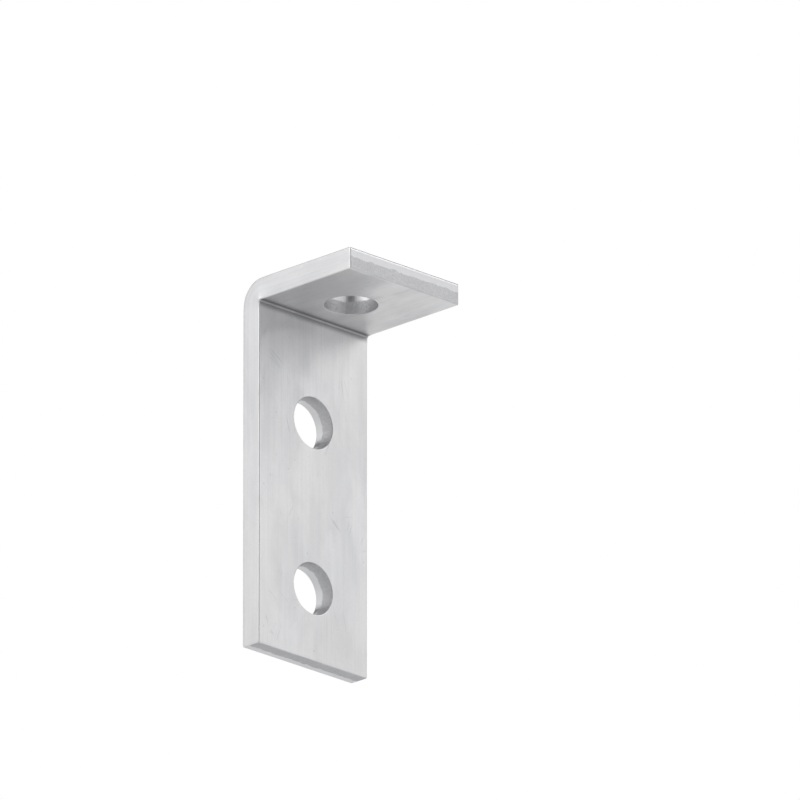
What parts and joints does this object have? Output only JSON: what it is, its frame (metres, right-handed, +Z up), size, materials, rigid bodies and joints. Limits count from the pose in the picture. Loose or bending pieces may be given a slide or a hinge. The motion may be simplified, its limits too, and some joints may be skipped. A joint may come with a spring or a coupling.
{
  "type": "strut angle fitting",
  "caption": "Right-angle fitting folded from flat steel bar, with a long leg that bolts to an upright strut channel and a short flange that carries a beam channel.",
  "frame": {"origin": "centre of the leg's pair of holes, on the plane of the leg's back, at half the width of the bar", "axes": "+Z up along the leg to the flange, +Y the outward normal of the leg's back, +X across the bar; the flange runs out towards -Y"},
  "size_m": [0.0412, 0.0413, 0.1047],
  "materials": {
    "zinc_plated_steel": "satin electro-zinc plate over a rolled bar, light grey"
  },
  "bodies": {
    "root": {"angle_fitting": "zinc_plated_steel"}
  },
  "joints": []
}
